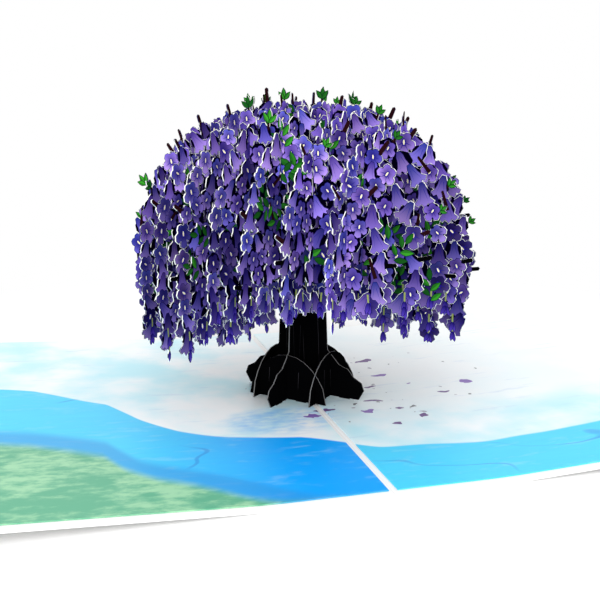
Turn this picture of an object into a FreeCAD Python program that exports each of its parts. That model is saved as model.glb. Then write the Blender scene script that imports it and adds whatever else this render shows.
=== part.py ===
"""Pop up greeting card, lying open, with a standing tree of slotted paper sheets.

X runs across the fold, Y along the fold and Z up. The origin lies under the middle of the fold,
on the face that the card rests on. All sizes are in millimetres.
"""
import FreeCAD, Part
import math
import os
import random
import Sketcher

SIZES = (
    ("panel_width", 127.0, "one half of the open cover, across the fold"),
    ("fold_length", 178.0, "the cover along its fold"),
    ("cover_stock", 0.4, "thickness of the white cover sheet"),
    ("liner_stock", 0.3, "thickness of the two printed liners"),
    ("paste_gap", 0.05, "film of paste under the liners and the tabs"),
    ("border", 3.2, "bare white edge around the liners"),
    ("fold_strip", 2.4, "bare white strip between the liners"),
    ("score_width", 0.8, "width of the pressed line along the fold"),
    ("score_depth", 0.12, "depth of the pressed line along the fold"),
    ("flat_reach", 24.0, "how far from the fold each half lies flat"),
    ("bend_radius", 365.0, "radius of the gentle bend in each half"),
    ("lift_angle", 2.6, "slope of each half past its bend, in degrees"),
    ("tree_stock", 0.35, "thickness of the sheets of the tree"),
    ("slot_play", 0.1, "spare width of every slot and slit"),
    ("pitch", 10.8, "distance between neighbouring sheets of the tree"),
    ("canopy_radius", 55.0, "reach of the blossom from the middle of the trunk"),
    ("canopy_waist", 48.0, "height at which the canopy is widest"),
    ("canopy_rise", 50.5, "height of the dome above the waist"),
    ("canopy_base", 31.0, "underside of the canopy at its two sides"),
    ("canopy_droop", 1.0, "how much lower the underside is at the rim"),
    ("canopy_arch", 11.0, "how much higher the underside is over the two ends of the fold"),
    ("arch_start", 12.0, "how far outside the middle sheets the underside starts to rise"),
    ("arch_run", 16.0, "distance in which the underside rises"),
    ("rim_height", 38.0, "height at which the outer hanging flowers start"),
    ("bloom_pitch", 6.6, "length of rim that one blossom takes"),
    ("bloom_bulge", 1.5, "how far a blossom stands out of the rim"),
    ("sprig_length", 5.0, "length of a leaf sprig outside the rim"),
    ("stub_length", 4.6, "length of a twig outside the rim"),
    ("stub_width", 1.0, "width of a twig"),
    ("twig_margin", 2.4, "bare rim to each side of a slot, with no sprig or twig"),
    ("raceme_width", 8.2, "width of one hanging chain of flowers"),
    ("raceme_hang", 7.0, "mean length of a hanging chain"),
    ("trunk_half", 9.6, "half the width of the trunk above the roots"),
    ("trunk_neck", 8.6, "half the width of the trunk under the canopy"),
    ("root_reach", 23.5, "reach of the roots from the middle of the trunk"),
    ("root_height", 17.0, "height at which the roots leave the trunk"),
    ("mound_reach", 15.5, "half the length of a root mound"),
    ("mound_height", 16.3, "height of a root mound"),
    ("foot_gap", 0.25, "space between the roots and the liners"),
    ("tab_width", 4.0, "width of a tab that holds the tree"),
)

RINGS = 3
ROUNDNESS = 2.25
MOUND_ROUNDNESS = 0.625
MOUND_POINTS = 14
FAMILY_TURN = {"a": 45.0, "b": 135.0}
SPRIG_SHARE = 0.26
STUB_SHARE = 0.24
RIM_NOTCH = -0.3
BLOOM_SIDES = (0.28, 0.72)
LEAF_SIDES = (0.30, 0.70)
LEAF_WIDEST = 0.55
BLOOM_MIDDLE = 0.50
STUB_TAPER = 0.6
STRETCH = (0.6, 1.25)
CHAIN_SIDES = (0.14, 0.86)
CHAIN_TIP = (0.42, 0.58)
CHAIN_TIP_HALF = 0.13
CHAIN_SHOULDER = 0.45
CHAIN_STRETCH = (0.55, 1.35)
CHAIN_UNDER_ARCH = 0.6
NOTCH_DROP = (-1.0, 1.5)
ROOT_STEPS = (
    (0.0, 1.0), (0.17, 0.84), (0.32, 0.70), (0.56, 0.63),
    (0.72, 0.47), (0.93, 0.37), (1.0, 0.21), (0.86, 0.06),
)

doc = FreeCAD.newDocument("pop_up_card")
sheet = doc.addObject("Spreadsheet::Sheet", "sizes")
for row, (alias, number, meaning) in enumerate(SIZES, start=1):
    sheet.set(f"A{row}", meaning)
    sheet.set(f"B{row}", str(number))
    sheet.setAlias(f"B{row}", alias)
doc.recompute()


def size(alias):
    """One driving size, as the spreadsheet holds it."""
    return float(sheet.get(alias))


LINER_TOP = size("cover_stock") + size("paste_gap") + size("liner_stock")
FOOT = LINER_TOP + size("foot_gap")
TAB_END = size("cover_stock") + size("paste_gap")
SLOT_WIDTH = size("tree_stock") + size("slot_play")
TAB_PLACES = (0.5, 1.5)


def origin_plane(body, role):
    """The body's own origin plane of that role."""
    return next(item for item in body.Origin.OriginFeatures if item.Role == role)


def new_body(label):
    body = doc.addObject("PartDesign::Body", label)
    body.Label = label
    return body


def new_sketch(body, name, role, loops):
    """A sketch of closed loops, each a list of lines and arcs that follow one another."""
    sketch = body.newObject("Sketcher::SketchObject", name)
    sketch.AttachmentSupport = (origin_plane(body, role), [""])
    sketch.MapMode = "FlatFace"
    for loop in loops:
        first = sketch.GeometryCount
        sketch.addGeometry(loop, False)
        last = sketch.GeometryCount - 1
        joints = []
        for index in range(first, last + 1):
            after = index + 1 if index < last else first
            joints.append(Sketcher.Constraint("Coincident", index, 2, after, 1))
        sketch.addConstraint(joints)
    return sketch


def polygon(points):
    """The sides of a closed polygon, given its corners as pairs."""
    corners = [FreeCAD.Vector(across, up, 0) for across, up in points]
    return [Part.LineSegment(a, b) for a, b in zip(corners, corners[1:] + corners[:1])]


def rectangle(left, right, low, high):
    return polygon([(left, low), (right, low), (right, high), (left, high)])


def pad(body, sketch, length):
    """A pad of half the length to each side of its sketch."""
    feature = body.newObject("PartDesign::Pad", sketch.Name + "_pad")
    feature.Profile = sketch
    feature.setExpression("Length", length)
    feature.Midplane = True
    sketch.Visibility = False
    return feature


def pocket(body, sketch):
    """A pocket through everything, to both sides of its sketch."""
    feature = body.newObject("PartDesign::Pocket", sketch.Name + "_pocket")
    feature.Profile = sketch
    feature.Type = "ThroughAll"
    feature.Midplane = True
    sketch.Visibility = False
    return feature


# The card

def panel_point(along, height, side):
    """A point of a half card: its distance from the fold along the underside, and its height."""
    flat = size("flat_reach")
    radius = size("bend_radius")
    lift = math.radians(size("lift_angle"))
    turn = min(max(along - flat, 0.0) / radius, lift)
    rest = max(along - flat - radius * lift, 0.0)
    across = min(along, flat) + (radius - height) * math.sin(turn) + rest * math.cos(lift)
    up = radius - (radius - height) * math.cos(turn) + rest * math.sin(lift)
    return FreeCAD.Vector(side * across, up, 0)


def panel_edge(start, end, height, side):
    """One face of a half card in section: flat, bent, then straight."""
    bend_start = size("flat_reach")
    bend_end = bend_start + size("bend_radius") * math.radians(size("lift_angle"))
    bend_middle = (bend_start + bend_end) / 2
    stops = [panel_point(stop, height, side) for stop in (start, bend_start, bend_middle, bend_end, end)]
    return [
        Part.LineSegment(stops[0], stops[1]),
        Part.Arc(stops[1], stops[2], stops[3]),
        Part.LineSegment(stops[3], stops[4]),
    ]


def turned_back(edges):
    """The same edges run the other way."""
    back = []
    for edge in reversed(edges):
        start, end = edge.EndPoint, edge.StartPoint
        if isinstance(edge, Part.LineSegment):
            back.append(Part.LineSegment(start, end))
        else:
            middle = edge.value((edge.FirstParameter + edge.LastParameter) / 2)
            back.append(Part.Arc(start, middle, end))
    return back


def closed_section(edges):
    """Edges joined by straight lines where one ends away from the next."""
    loop = []
    for edge, after in zip(edges, edges[1:] + edges[:1]):
        loop.append(edge)
        if edge.EndPoint.distanceToPoint(after.StartPoint) > 1e-9:
            loop.append(Part.LineSegment(edge.EndPoint, after.StartPoint))
    return loop


def make_cover():
    """The white sheet, folded once, with the pressed line along its fold."""
    body = new_body("cover")
    width = size("panel_width")
    stock = size("cover_stock")
    score = size("score_width") / 2
    under = turned_back(panel_edge(0.0, width, 0.0, -1)) + panel_edge(0.0, width, 0.0, 1)
    groove = FreeCAD.Vector(0, stock - size("score_depth"), 0)
    top_right = turned_back(panel_edge(score, width, stock, 1))
    top_left = panel_edge(score, width, stock, -1)
    dip = [
        Part.LineSegment(top_right[-1].EndPoint, groove),
        Part.LineSegment(groove, top_left[0].StartPoint),
    ]
    section = closed_section(under + top_right + dip + top_left)
    draw_section(body, "cover_section", section, "sizes.fold_length")
    return body


def draw_section(body, name, section, length):
    """A section in the XZ plane, padded along the fold."""
    sketch = body.newObject("Sketcher::SketchObject", name)
    sketch.AttachmentSupport = (origin_plane(body, "XZ_Plane"), [""])
    sketch.MapMode = "FlatFace"
    sketch.addGeometry(section, False)
    pad(body, sketch, length)


def slit_corners(middle, direction, length, width):
    """Four corners of a slit that lies along a sheet of the tree."""
    along = FreeCAD.Vector(*direction, 0) * (length / 2)
    across = FreeCAD.Vector(-direction[1], direction[0], 0) * (width / 2)
    centre = FreeCAD.Vector(*middle, 0)
    corners = [centre + along * end + across * side for end, side in ((-1, -1), (1, -1), (1, 1), (-1, 1))]
    return [(corner.x, corner.y) for corner in corners]


def tab_centres(ring):
    """Where the tabs of a root sheet lie along it."""
    steps = TAB_PLACES if ring == 0 else TAB_PLACES[:1]
    return [side * step * size("pitch") for step in steps for side in (-1, 1)]


def sheet_axes(family):
    """The directions along and square to a sheet of that family, as seen from above."""
    turn = math.radians(FAMILY_TURN[family])
    along = (math.cos(turn), math.sin(turn))
    square = (-math.sin(turn), math.cos(turn))
    return along, square


def sheet_offset(family, ring):
    """Signed distance of a sheet from the trunk's axis, along the sheet's own Y."""
    return ring * size("pitch") * (1 if family == "a" else -1)


def make_liner(label, side):
    """A printed panel pasted on one half of the cover, with a slit for every tab on that half."""
    body = new_body(label)
    start = size("fold_strip") / 2
    end = size("panel_width") - size("border")
    low = size("cover_stock") + size("paste_gap")
    under = panel_edge(start, end, low, side)
    over = turned_back(panel_edge(start, end, LINER_TOP, side))
    length = "sizes.fold_length - 2 * sizes.border"
    draw_section(body, label + "_section", closed_section(under + over), length)
    slits = []
    slit_length = size("tab_width") + size("slot_play")
    for family in FAMILY_TURN:
        along, square = sheet_axes(family)
        for ring in (-1, 0, 1):
            offset = sheet_offset(family, ring)
            for place in tab_centres(ring):
                middle = [offset * square[k] + place * along[k] for k in (0, 1)]
                if middle[0] * side > 0:
                    slits.append(polygon(slit_corners(middle, along, slit_length, SLOT_WIDTH)))
    pocket(body, new_sketch(body, label + "_slits", "XY_Plane", slits))
    return body


# The tree

def dome_height(radius):
    """Upper side of the canopy at a distance from the trunk's axis."""
    share = min(radius / size("canopy_radius"), 1.0)
    return size("canopy_waist") + size("canopy_rise") * (1 - share ** ROUNDNESS) ** (1 / ROUNDNESS)


def place_on_card(family, across, offset):
    """Where a place along a sheet lies on the card."""
    along, square = sheet_axes(family)
    return [across * along[k] + offset * square[k] for k in (0, 1)]


def arch_share(x, y):
    """0 over the card's sides and 1 over the two ends of its fold."""
    inward = abs(y) - abs(x) + size("arch_start")
    return min(max(inward / size("arch_run"), 0.0), 1.0)


def base_height(x, y):
    """Underside of the canopy above a place on the card."""
    droop = size("canopy_droop") * (math.hypot(x, y) / size("canopy_radius")) ** 2
    return size("canopy_base") - droop + size("canopy_arch") * arch_share(x, y)


def half_length(offset):
    """How far a canopy sheet reaches to each side, at that distance from the axis."""
    return math.sqrt(size("canopy_radius") ** 2 - offset ** 2)


def sheet_random(family, ring):
    """The same draws for the same sheet each time."""
    return random.Random(100 * (RINGS + 1 + ring) + (7 if family == "a" else 53))


def rim_point(offset, turn, outward):
    """A point of the dome's rim in a sheet, pushed out along the line from the canopy's heart."""
    reach = half_length(offset)
    across = reach * math.cos(turn)
    up = dome_height(math.hypot(across, offset))
    heart = size("canopy_base")
    length = math.hypot(across, up - heart)
    return across * (1 + outward / length), heart + (up - heart) * (1 + outward / length)


def beside_slot(across):
    """Whether a place along a sheet is too near a slot for a sprig or a twig."""
    pitch = size("pitch")
    return abs(across - pitch * round(across / pitch)) < size("twig_margin")


def upper_rim(offset, draws):
    """Blossom bulges, leaf sprigs and twigs over the dome, from the right end to the left one."""
    bulge = size("bloom_bulge")
    reach = half_length(offset)
    rise = dome_height(abs(offset)) - size("canopy_waist")
    arc_length = math.pi * math.sqrt((reach ** 2 + rise ** 2) / 2)
    count = max(6, round(arc_length / size("bloom_pitch")))
    points = []
    for number in range(count):
        start = math.pi * number / count
        step = math.pi / count
        kind = draws.random()
        middle = start + BLOOM_MIDDLE * step
        stretch = draws.uniform(*STRETCH)
        plain = number in (0, count - 1) or beside_slot(reach * math.cos(middle))
        points.append(rim_point(offset, start, RIM_NOTCH * bulge))
        points.append(rim_point(offset, start + BLOOM_SIDES[0] * step, bulge * stretch))
        if not plain and kind < SPRIG_SHARE:
            length = size("sprig_length") * stretch
            points.append(rim_point(offset, start + LEAF_SIDES[0] * step, LEAF_WIDEST * length))
            points.append(rim_point(offset, middle, length))
            points.append(rim_point(offset, start + LEAF_SIDES[1] * step, LEAF_WIDEST * length))
        elif not plain and kind < SPRIG_SHARE + STUB_SHARE:
            half = size("stub_width") / (2 * arc_length / count) * step
            length = size("stub_length") * stretch
            points.append(rim_point(offset, middle - half, bulge))
            points.append(rim_point(offset, middle - STUB_TAPER * half, length))
            points.append(rim_point(offset, middle + STUB_TAPER * half, length))
            points.append(rim_point(offset, middle + half, bulge))
        points.append(rim_point(offset, start + BLOOM_SIDES[1] * step, bulge * stretch))
    return points


def hanging_chains(family, offset, left, right, draws):
    """The underside between two places: chains of flowers that hang down, from left to right."""
    count = max(1, round((right - left) / size("raceme_width")))
    width = (right - left) / count
    points = []
    for number in range(count):
        start = left + number * width
        tip = start + width * draws.uniform(*CHAIN_TIP)
        x, y = place_on_card(family, tip, offset)
        length = size("raceme_hang") * draws.uniform(*CHAIN_STRETCH)
        length *= 1 + (CHAIN_UNDER_ARCH - 1) * arch_share(x, y)
        root = base_height(x, y)
        shoulder = root - CHAIN_SHOULDER * length
        points.append((start + CHAIN_SIDES[0] * width, shoulder))
        points.append((tip - CHAIN_TIP_HALF * width, root - length))
        points.append((tip + CHAIN_TIP_HALF * width, root - length))
        points.append((start + CHAIN_SIDES[1] * width, shoulder))
        if number < count - 1:
            notch = base_height(*place_on_card(family, start + width, offset))
            points.append((start + width, notch + draws.uniform(*NOTCH_DROP)))
    return points


def rim_side(family, offset, side):
    """The end of a canopy sheet, between the dome and the outer hanging chain."""
    across = side * half_length(offset)
    under = base_height(*place_on_card(family, across, offset))
    return [(across, max(size("rim_height"), under + size("bloom_bulge")))]


def feet(left, right, places):
    """The foot of a root sheet between two corners, with its tabs, from left to right."""
    points = [(left, FOOT)]
    for place in sorted(places):
        for edge, low, high in ((-1, FOOT, TAB_END), (1, TAB_END, FOOT)):
            across = place + edge * size("tab_width") / 2
            points += [(across, low), (across, high)]
    points.append((right, FOOT))
    return points


def root_side(base):
    """The outline from the trunk's neck, at the underside, down to the end of a root, on the right."""
    reach = size("root_reach")
    top = size("root_height")
    trunk = size("trunk_half")
    neck = size("trunk_neck")
    line = [(neck, base), ((neck + trunk) / 2, (base + top) / 2)]
    line += [(trunk + share * (reach - trunk), FOOT + level * (top - FOOT)) for share, level in ROOT_STEPS]
    return line


def canopy_outline(family, offset, draws):
    """A sheet that is only canopy."""
    reach = half_length(offset)
    under = hanging_chains(family, offset, -reach, reach, draws)
    return upper_rim(offset, draws) + rim_side(family, offset, -1) + under + rim_side(family, offset, 1)


def trunk_outline(family, draws):
    """A middle sheet: canopy, trunk and roots in one piece."""
    reach = half_length(0.0)
    inner = size("pitch") + size("tree_stock") + size("slot_play")
    base = base_height(*place_on_card(family, inner, 0.0))
    right_root = root_side(base)
    left_root = [(-across, up) for across, up in right_root]
    foot_line = feet(left_root[-1][0], right_root[-1][0], tab_centres(0))
    left_under = hanging_chains(family, 0.0, -reach, -inner, draws) + [(-inner, base)]
    right_under = [(inner, base)] + hanging_chains(family, 0.0, inner, reach, draws)
    upper = upper_rim(0.0, draws) + rim_side(family, 0.0, -1)
    lower = left_under + left_root + foot_line + right_root[::-1] + right_under
    return upper + lower + rim_side(family, 0.0, 1)


def mound_outline(draws):
    """A low root mound."""
    reach = size("mound_reach") * draws.uniform(0.97, 1.03)
    height = size("mound_height") - FOOT
    points = []
    for number in range(MOUND_POINTS + 1):
        across = reach * math.cos(math.pi * number / MOUND_POINTS)
        level = max(1 - (across / reach) ** 2, 0.0) ** MOUND_ROUNDNESS
        points.append((across, FOOT + height * level))
    return points[1:-1] + feet(-reach, reach, tab_centres(1))


def canopy_lap(ring, other):
    """Height at which the slots of two crossing canopy sheets meet."""
    pitch = size("pitch")
    x, y = place_on_card("a", other * pitch, ring * pitch)
    return (dome_height(math.hypot(x, y)) + base_height(x, y)) / 2


def root_height_at(ring, other):
    """Height of the lower of two crossing root sheets, where they cross."""
    place = size("pitch")
    if ring != 0 and other != 0:
        level = (1 - (place / size("mound_reach")) ** 2) ** MOUND_ROUNDNESS
        return FOOT + (size("mound_height") - FOOT) * level
    return min(size("mound_height"), size("root_height") * 0.9)


def slots(family, ring, part):
    """Slots of one sheet: from below in family a, from above in family b."""
    above_roots = max(size("root_height"), size("mound_height")) + 1.0
    sky = 2 * dome_height(0.0)
    reach = {"canopy": RINGS, "trunk": RINGS, "mound": 1}[part]
    pitch = size("pitch")
    inside = size("canopy_radius") - size("bloom_pitch")
    cuts = []
    for other in range(-reach, reach + 1):
        place = other * pitch
        if part != "mound" and pitch * math.hypot(ring, other) < inside:
            lap = canopy_lap(ring, other)
            floor = 0.0 if part == "trunk" and other == 0 else above_roots
            low, high = (floor, lap) if family == "a" else (lap, sky)
            cuts.append((place, low, high))
        if part != "canopy" and abs(other) <= 1 and (part == "mound" or other != 0):
            lap = (FOOT + root_height_at(ring, other)) / 2
            low, high = (0.0, lap) if family == "a" else (lap, above_roots)
            cuts.append((place, low, high))
    return cuts


def make_sheet(family, ring, part, label):
    """One sheet of the tree, slotted and stood in its place in the lattice."""
    offset = sheet_offset(family, ring)
    draws = sheet_random(family, ring)
    if part == "canopy":
        outline = canopy_outline(family, offset, draws)
    elif part == "trunk":
        outline = trunk_outline(family, draws)
    else:
        outline = mound_outline(draws)
    body = new_body(label)
    pad(body, new_sketch(body, label + "_outline", "XZ_Plane", [polygon(outline)]), "sizes.tree_stock")
    half = SLOT_WIDTH / 2
    cuts = slots(family, ring, part)
    loops = [rectangle(place - half, place + half, low, high) for place, low, high in cuts]
    pocket(body, new_sketch(body, label + "_slots", "XZ_Plane", loops))
    along, square = sheet_axes(family)
    base = FreeCAD.Vector(square[0], square[1], 0) * offset
    turn = FreeCAD.Rotation(FreeCAD.Vector(0, 0, 1), FAMILY_TURN[family])
    body.Placement = FreeCAD.Placement(base, turn)
    return body


def ring_name(ring):
    """Sheets are counted from the near side of the card."""
    return str(ring + RINGS + 1)


bodies = [make_cover(), make_liner("liner_left", -1), make_liner("liner_right", 1)]
for family_name in FAMILY_TURN:
    for ring_number in range(-RINGS, RINGS + 1):
        name = f"blossom_sheet_{family_name}{ring_name(ring_number)}"
        if ring_number == 0:
            bodies.append(make_sheet(family_name, 0, "trunk", f"trunk_sheet_{family_name}"))
        else:
            bodies.append(make_sheet(family_name, ring_number, "canopy", name))
    for ring_number in (-1, 1):
        side_name = "near" if ring_number < 0 else "far"
        bodies.append(make_sheet(family_name, ring_number, "mound", f"root_sheet_{family_name}_{side_name}"))

doc.recompute()
for item in doc.Objects:
    if "Invalid" in item.State or "Error" in item.State:
        raise RuntimeError(f"{item.Label} failed: {item.State}")
for body in bodies:
    if body.Shape.isNull() or not body.Shape.isValid() or len(body.Shape.Solids) != 1:
        raise RuntimeError(f"{body.Label} isn't one whole solid")

os.makedirs("parts", exist_ok=True)
for body in bodies:
    body.Shape.exportStep(f"parts/{body.Label}.step")
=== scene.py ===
"""Pop up card with a slotted paper tree in blossom, dressed on its CAD frame.

Blender works in metres here. Everything printed on a sheet of the tree is laid out flat, in
millimetres along and up that sheet, and cut into one mesh.
"""
import math
import random

import bpy
from mathutils import Matrix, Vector
from mathutils.geometry import delaunay_2d_cdt


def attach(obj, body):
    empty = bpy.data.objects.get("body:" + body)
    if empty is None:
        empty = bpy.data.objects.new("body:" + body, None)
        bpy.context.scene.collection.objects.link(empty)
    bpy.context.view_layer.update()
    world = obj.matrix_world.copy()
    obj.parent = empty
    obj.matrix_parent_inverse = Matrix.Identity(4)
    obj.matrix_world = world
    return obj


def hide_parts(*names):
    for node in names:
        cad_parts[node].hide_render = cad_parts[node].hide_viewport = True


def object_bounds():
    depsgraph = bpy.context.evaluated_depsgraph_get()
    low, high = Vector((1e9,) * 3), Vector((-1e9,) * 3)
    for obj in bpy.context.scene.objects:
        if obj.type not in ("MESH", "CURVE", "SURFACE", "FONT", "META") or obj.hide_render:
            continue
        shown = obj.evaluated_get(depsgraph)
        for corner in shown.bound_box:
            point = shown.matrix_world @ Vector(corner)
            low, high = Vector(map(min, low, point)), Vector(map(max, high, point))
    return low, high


bl_info = {
    "name": "Pop up card with a blossoming tree",
    "version": (1, 0, 0),
    "blender": (4, 5, 0),
    "location": "View3D > Sidebar > Pop up card",
    "description": "Dresses the card and the slotted paper tree of the CAD frame",
    "category": "Add Mesh",
}

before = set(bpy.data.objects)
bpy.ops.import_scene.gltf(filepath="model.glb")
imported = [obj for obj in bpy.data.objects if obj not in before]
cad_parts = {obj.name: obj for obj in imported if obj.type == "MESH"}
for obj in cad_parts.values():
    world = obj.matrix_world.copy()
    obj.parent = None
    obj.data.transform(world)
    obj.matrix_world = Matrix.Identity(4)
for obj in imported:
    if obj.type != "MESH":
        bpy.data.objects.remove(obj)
CAD_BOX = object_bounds()
MM = 0.001
IMAGE_SIDE = 600

FAMILY_TURN = {"a": 45.0, "b": 135.0}
TRUNK_SHEETS = ("trunk_sheet_a", "trunk_sheet_b")
ROOT_SHEETS = ("root_sheet_a_near", "root_sheet_a_far", "root_sheet_b_near", "root_sheet_b_far")
PAPERS = {"blossom_print": "blossom_paper", "trunk_print": "trunk_paper", "root_print": "root_paper"}
BLOSSOM_SHEETS = tuple(f"blossom_sheet_{family}{ring}" for family in "ab" for ring in (1, 2, 3, 5, 6, 7))

# Heights and reaches on the tree's sheets, in millimetres

CEILING = CAD_BOX[1][2] / MM - 0.02
PASTED_TOP = 0.5
FOOT_UNDERCUT = 2.4
ROOT_TOP = 17.2
TRUNK_REACH = 10.0
NECK_HALF = 9.2
LOWEST_TWIG = 36.0
LOWEST_CHAIN = 16.0

# Widths of the printed lines, in millimetres

INK_LINE = 0.16
LEAF_LINE = 0.2
BUD_LINE = 0.13

# How exactly corners of an outline have to agree, and how wide a slot is, in millimetres

LEVEL_PLAY = 0.02
SLOT_LEAST, SLOT_MOST = 0.3, 0.7


def linear(code):
    """A colour given as six hex digits, in the linear values that Blender uses."""
    parts = [int(code[place:place + 2], 16) / 255 for place in (0, 2, 4)]
    return tuple(part / 12.92 if part <= 0.04045 else ((part + 0.055) / 1.055) ** 2.4 for part in parts)


def colour_property(name, description, code):
    return bpy.props.FloatVectorProperty(
        name=name, description=description, subtype="COLOR", size=3, min=0.0, max=1.0, default=linear(code))


def length_property(name, description, millimetres):
    return bpy.props.FloatProperty(
        name=name, description=description, unit="LENGTH", subtype="DISTANCE", default=millimetres * MM)


class TreeSettings(bpy.types.PropertyGroup):
    """Sizes and colours of the tree's printed sheets."""
    stock: length_property("Sheet stock", "Thickness of the sheets of the tree", 0.35)
    blossom_spacing: length_property("Blossom spacing", "Distance between neighbouring blossoms", 5.7)
    canopy_radius: length_property("Canopy radius", "Reach of the blossom from the trunk", 55.0)
    canopy_waist: length_property("Canopy waist", "Height at which the canopy is widest", 48.0)
    canopy_rise: length_property("Canopy rise", "Height of the dome above the waist", 50.5)
    canopy_base: length_property("Canopy base", "Underside of the canopy beside the trunk", 39.0)
    margin: length_property("White margin", "Bare paper outside the print at a cut edge", 0.09)
    petal_light: colour_property("Light petal", "Lilac of the lit petals", "c09ef6")
    petal_blue: colour_property("Blue petal", "Blue of the cooler petals", "4a63ec")
    petal_violet: colour_property("Violet petal", "Violet of most petals", "7a5ad8")
    petal_deep: colour_property("Deep petal", "Indigo inside a blossom", "231a86")
    ink: colour_property("Ink", "Thin dark line round each petal", "120c4a")
    shade: colour_property("Shade", "Dark gaps between the blossoms", "020110")
    throat: colour_property("Throat", "Cream mark inside a blossom", "f8edc4")
    leaf: colour_property("Leaf", "Green of the leaves", "3a9a2a")
    leaf_dark: colour_property("Dark leaf", "Green in the shaded half of a leaf", "17521c")
    branch: colour_property("Branch", "Twigs among the blossom", "230c10")
    stem: colour_property("Stem", "Thin olive stems", "8f9a58")
    bark: colour_property("Bark", "Black of the trunk and the roots", "040405")
    bark_line: colour_property("Bark line", "Thin lines in the bark", "2e2c30")
    cut_edge: colour_property("Cut edge", "White core of the paper at its cut edges", "f7f7f4")
    bark_edge: colour_property("Bark edge", "Grey cut edges of the trunk and the roots", "6d6c6c")


class CardSettings(bpy.types.PropertyGroup):
    """Colours of the card that the tree stands on."""
    card_white: colour_property("Card white", "White sheet under the print", "f8f8f6")
    ground: colour_property("Ground", "Pale wash of the printed ground", "fafeff")
    wash: colour_property("Wash", "Light cyan wash over the ground", "c2f1fb")
    water: colour_property("Water", "Cyan of the water", "48d8ff")
    deep_water: colour_property("Deep water", "Azure of the deep water", "00a6ff")
    bank: colour_property("Bank", "Green of the near bank", "9fd6ac")
    bank_dark: colour_property("Dark bank", "Darker green in the near bank", "5fb08c")
    petal: colour_property("Fallen petal", "Violet of the fallen petals", "8466b4")
    petal_dark: colour_property("Dark fallen petal", "Plum of the darker fallen petals", "6a4a86")
    flake: colour_property("Flake", "Grey of the small flakes on the ground", "9a98a8")
    flake_dark: colour_property("Dark flake", "Grey of the darker flakes", "4a4a52")
    streak: colour_property("Streak", "Grey-blue streaks in the ground", "a9c4e6")
    stain: colour_property("Stain", "Spotted blue in front of the roots", "6fc0fa")
    ripple: colour_property("Ripple", "Pale ripples of the water", "c9f3fb")
    band: colour_property("Band", "Dark band of water along the bank", "2b8fdc")
    stroke: colour_property("Stroke", "Thin dark strokes in the water", "1478d8")


class StageSettings(bpy.types.PropertyGroup):
    """The floor, the light and the camera."""
    floor_white: colour_property("Floor", "Pale colour of the floor", "f9f9f9")
    floor_reach: bpy.props.FloatProperty(
        name="Floor reach", description="Radius of the floor", unit="LENGTH", subtype="DISTANCE", default=6.0)
    camera_place: bpy.props.FloatVectorProperty(
        name="Camera place", description="Where the camera stands", unit="LENGTH", subtype="XYZ", size=3,
        default=(-0.07757, -0.27758, 0.09218))
    camera_azimuth: bpy.props.FloatProperty(
        name="Camera azimuth", description="Heading of the camera, from +Y to +X", unit="ROTATION",
        subtype="ANGLE", default=math.radians(15.414))
    camera_drop: bpy.props.FloatProperty(
        name="Camera drop", description="How far the camera looks down", unit="ROTATION",
        subtype="ANGLE", default=math.radians(11.576))
    focal_pixels: bpy.props.FloatProperty(
        name="Focal length in pixels", description="Focal length for a square image 600 pixels wide",
        default=861.8)


# Shader maths

class Wire:
    """A value or colour socket of a material, on which plain arithmetic adds Math nodes."""

    def __init__(self, tree, socket):
        self.tree = tree
        self.socket = socket

    def node(self, kind, settings=None, output=0, **inputs):
        """A node of that type, with its settings and then its sockets by name or number."""
        return add_node(self.tree, kind, settings, output, **inputs)

    def math(self, operation, other):
        return self.node("ShaderNodeMath", {"operation": operation}, i0=self.socket, i1=other)

    def __add__(self, other):
        return self.math("ADD", other)

    __radd__ = __add__

    def __mul__(self, other):
        return self.math("MULTIPLY", other)

    __rmul__ = __mul__

    def __sub__(self, other):
        return self.math("SUBTRACT", other)

    def __rsub__(self, other):
        return (self * -1.0) + other

    def __lt__(self, other):
        return self.math("LESS_THAN", other)

    def smooth(self, low, high):
        """0 below low, 1 above high, and a soft step between them."""
        settings = {"interpolation_type": "SMOOTHSTEP"}
        return self.node("ShaderNodeMapRange", settings, i0=self.socket, i1=low, i2=high, i3=0.0, i4=1.0)

    def mixed(self, first, second):
        """The first colour where this value is 0 and the second where it is 1."""
        settings = {"data_type": "RGBA", "clamp_factor": True}
        return self.node("ShaderNodeMix", settings, output=2, i0=self.socket, i6=first, i7=second)

    def profile(self, low, high, points):
        """This value read through a smooth curve of (place, level) points, levels from 0 to 1."""
        place = self.node("ShaderNodeMapRange", None, i0=self.socket, i1=low, i2=high, i3=0.0, i4=1.0)
        stops = [((spot - low) / (high - low), (level, level, level, 1.0)) for spot, level in points]
        return place.node("ShaderNodeValToRGB", {"interpolation": "B_SPLINE", "stops": stops}, i0=place)


def add_node(tree, kind, settings=None, output=0, **inputs):
    """A shader node, its settings first and then the values or links of its sockets."""
    node = tree.nodes.new(kind)
    for name, value in (settings or {}).items():
        if name == "stops":
            ramp = node.color_ramp
            while len(ramp.elements) > 2:
                ramp.elements.remove(ramp.elements[-1])
            while len(ramp.elements) < len(value):
                ramp.elements.new(0.5)
            for number, (place, colour) in enumerate(value):
                ramp.elements[number].position = place
                ramp.elements[number].color = colour
        elif name == "interpolation" and hasattr(node, "color_ramp"):
            node.color_ramp.interpolation = value
        else:
            setattr(node, name, value)
    for name, value in inputs.items():
        socket = node.inputs[int(name[1:])] if name[0] == "i" and name[1:].isdigit() else node.inputs[name]
        if isinstance(value, Wire):
            value = value.socket
        if isinstance(value, bpy.types.NodeSocket):
            tree.links.new(value, socket)
        elif isinstance(value, (int, float)):
            socket.default_value = value
        elif len(value) == 3 and socket.type == "RGBA":
            socket.default_value = (*value, 1.0)
        else:
            socket.default_value = value
    return Wire(tree, node.outputs[output])


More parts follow.
